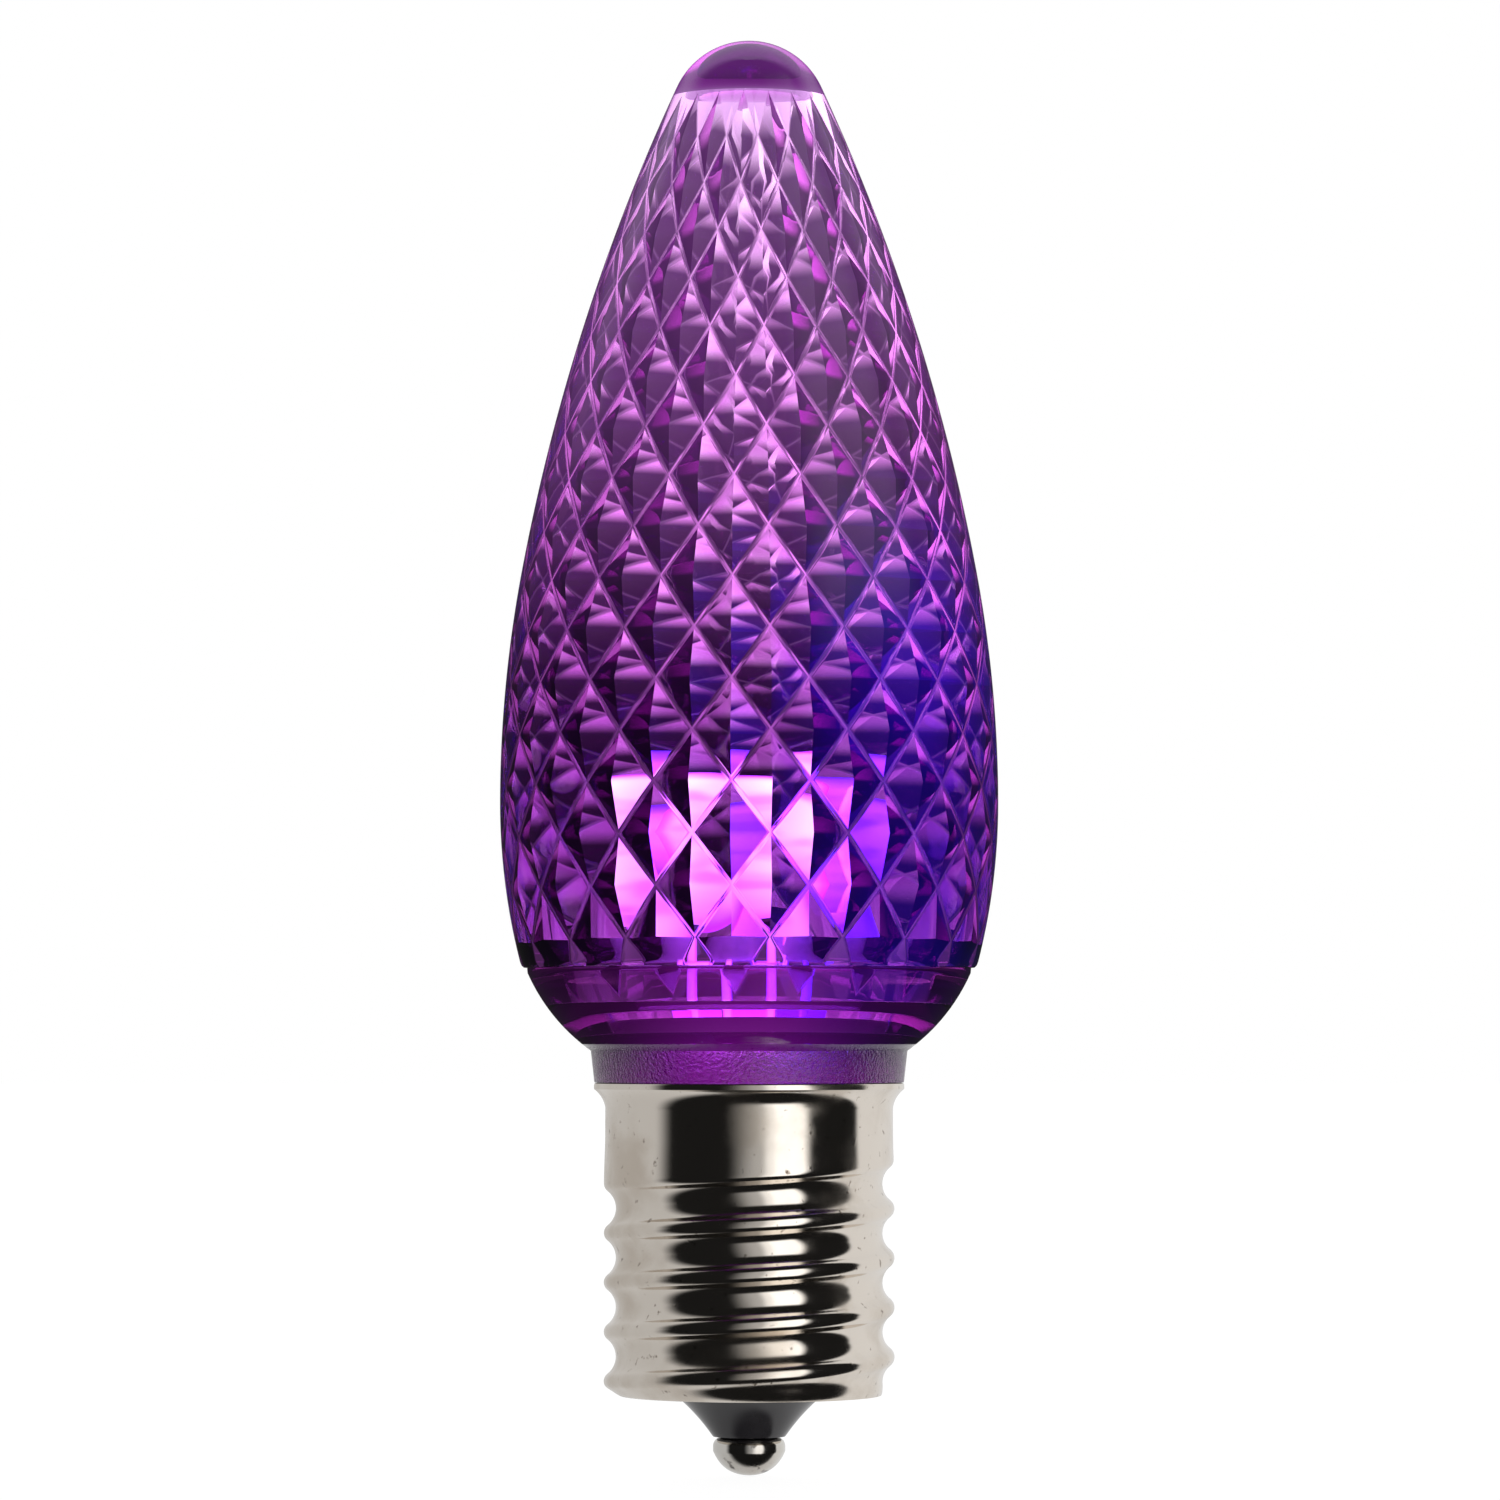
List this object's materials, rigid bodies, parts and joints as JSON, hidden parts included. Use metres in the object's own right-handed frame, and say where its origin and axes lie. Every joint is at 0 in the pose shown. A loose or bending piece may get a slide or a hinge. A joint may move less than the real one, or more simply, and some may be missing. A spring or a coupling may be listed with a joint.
{
  "type": "faceted christmas light bulb",
  "caption": "Screw-in string light bulb: a tall violet see-through lens with diamond facets, a frosted collar, a nickel screw shell, a black insulator and a domed centre contact.",
  "frame": {"origin": "on the bulb's axis, at the lowest point of the centre contact's dome, where the screw base bottoms in its holder", "axes": "+Z along the bulb's axis from the cap to the tip; -Y is the side that faces the camera in the picture, with +X to its right"},
  "size_m": [0.0286, 0.0286, 0.0825],
  "materials": {
    "violet_lens": "clear, polished",
    "violet_frosted": "clear cup, frosted neck",
    "nickel": "bright plate, slightly worn",
    "black_insulator": "glossy",
    "solder": "dull, speckled",
    "board": "white coating",
    "led_violet": "clear resin, lit",
    "black_moulding": "moulded",
    "resistor_coat": "lacquered",
    "lead_cover": "covered wire",
    "tinned_wire": "tinned"
  },
  "bodies": {
    "root": {"faceted_lens": "violet_lens", "lens_collar": "violet_frosted", "screw_shell": "nickel", "base_insulator": "black_insulator", "centre_contact": "solder", "led_board": "board", "led_1": "led_violet", "led_2": "led_violet", "led_3": "led_violet", "led_4": "led_violet", "led_5": "led_violet", "bridge_rectifier": "black_moulding", "live_resistor": "resistor_coat", "neutral_resistor": "resistor_coat", "live_lead": "lead_cover", "neutral_lead": "tinned_wire"}
  },
  "joints": []
}
